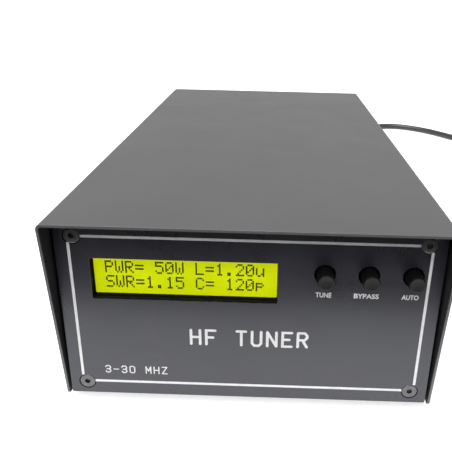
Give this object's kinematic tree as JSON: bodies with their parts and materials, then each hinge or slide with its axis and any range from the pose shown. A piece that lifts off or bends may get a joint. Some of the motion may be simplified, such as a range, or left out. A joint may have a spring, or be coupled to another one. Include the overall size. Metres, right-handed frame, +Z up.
{
  "type": "antenna tuner",
  "caption": "Tabletop automatic antenna tuner: folded metal case, character display, push buttons, rear coaxial sockets, ground terminal and a captive DC lead.",
  "frame": {"origin": "on the table under the middle of the case: centre of the bounding box without the lead, at the bottom of the feet", "axes": "+Z up, +Y from the front panel to the rear panel, +X to the right of someone facing the front panel"},
  "size_m": [0.3774, 0.4851, 0.079],
  "materials": {
    "cover_paint": "satin powder coat",
    "panel_black": "black anodised, fine satin",
    "zinc_steel": "zinc plated sheet",
    "screw_steel": "nickel plated",
    "black_steel": "black oxide",
    "foot_rubber": "matte",
    "display_glass": "polished",
    "backlight": "lit yellow-green light guide",
    "circuit_board": "green solder mask",
    "ribbon_pvc": "matte",
    "button_plastic": "semi-gloss moulded",
    "switch_plastic": "matte moulded",
    "nickel": "nickel plated brass",
    "ptfe": "waxy white",
    "contact_brass": "gold flashed",
    "terminal_brass": "machined",
    "copper_wire": "bare copper",
    "dark_ferrite": "matte",
    "iron_powder": "red lacquer",
    "relay_case": "matte",
    "boot_rubber": "matte",
    "lead_jacket": "satin PVC",
    "plug_moulding": "satin moulded"
  },
  "bodies": {
    "case": {"top_cover": "cover_paint", "chassis": "zinc_steel", "front_panel": "panel_black", "panel_screw_1": "screw_steel", "panel_screw_2": "screw_steel", "panel_screw_3": "screw_steel", "panel_screw_4": "screw_steel", "foot_1": "foot_rubber", "foot_2": "foot_rubber", "foot_3": "foot_rubber", "foot_4": "foot_rubber", "cover_screw_1": "black_steel", "cover_screw_2": "black_steel", "cover_screw_3": "black_steel", "cover_screw_4": "black_steel", "display_bezel": "black_steel", "display_glass": "display_glass", "display_backlight": "backlight", "display_board": "circuit_board", "ribbon_cable": "ribbon_pvc", "tune_switch": "switch_plastic", "bypass_switch": "switch_plastic", "auto_switch": "switch_plastic", "button_board": "circuit_board", "input_socket_shell": "nickel", "input_socket_insulator": "ptfe", "input_socket_contact": "contact_brass", "input_wire": "copper_wire", "antenna_socket_shell": "nickel", "antenna_socket_insulator": "ptfe", "antenna_socket_contact": "contact_brass", "antenna_wire": "copper_wire", "sensor_core": "dark_ferrite", "ground_stud": "terminal_brass", "ground_hex_nut": "terminal_brass", "lead_boot": "boot_rubber", "power_lead": "lead_jacket", "lead_coil": "lead_jacket", "lead_tail": "lead_jacket", "lead_plug": "plug_moulding", "lead_plug_barrel": "nickel", "main_board": "circuit_board", "board_screw_1": "screw_steel", "board_screw_2": "screw_steel", "board_screw_3": "screw_steel", "board_screw_4": "screw_steel", "capacitor_relays": "relay_case", "inductor_relays": "relay_case", "inductor_1": "iron_powder", "inductor_2": "iron_powder", "inductor_3": "iron_powder"},
    "tune_button": {"tune_cap": "button_plastic", "tune_plunger": "switch_plastic"},
    "bypass_button": {"bypass_cap": "button_plastic", "bypass_plunger": "switch_plastic"},
    "auto_button": {"auto_cap": "button_plastic", "auto_plunger": "switch_plastic"},
    "washer": {"ground_washer": "terminal_brass"},
    "wing_nut": {"ground_wing_nut": "terminal_brass"}
  },
  "joints": [
    {"name": "tune_press", "type": "slide", "parent": "case", "child": "tune_button", "axis": [0, 1, 0], "range_m": [0, 0.0015], "stiffness_N_per_m": 800, "springref_m": -0.001},
    {"name": "bypass_press", "type": "slide", "parent": "case", "child": "bypass_button", "axis": [0, 1, 0], "range_m": [0, 0.0015], "stiffness_N_per_m": 800, "springref_m": -0.001},
    {"name": "auto_press", "type": "slide", "parent": "case", "child": "auto_button", "axis": [0, 1, 0], "range_m": [0, 0.0015], "stiffness_N_per_m": 800, "springref_m": -0.001},
    {"name": "washer_slide", "type": "slide", "parent": "case", "child": "washer", "axis": [0, 1, 0], "range_m": [0, 0.002]},
    {"name": "wing_nut_turn", "type": "hinge", "parent": "washer", "child": "wing_nut", "pos_m": [0.04, 0.122, 0.056], "axis": [0, 1, 0], "range_deg": [0, 720]}
  ],
  "couplings": [
    {"joint": "washer_slide", "follows": "wing_nut_turn", "m_per_rad": 0.000159}
  ]
}
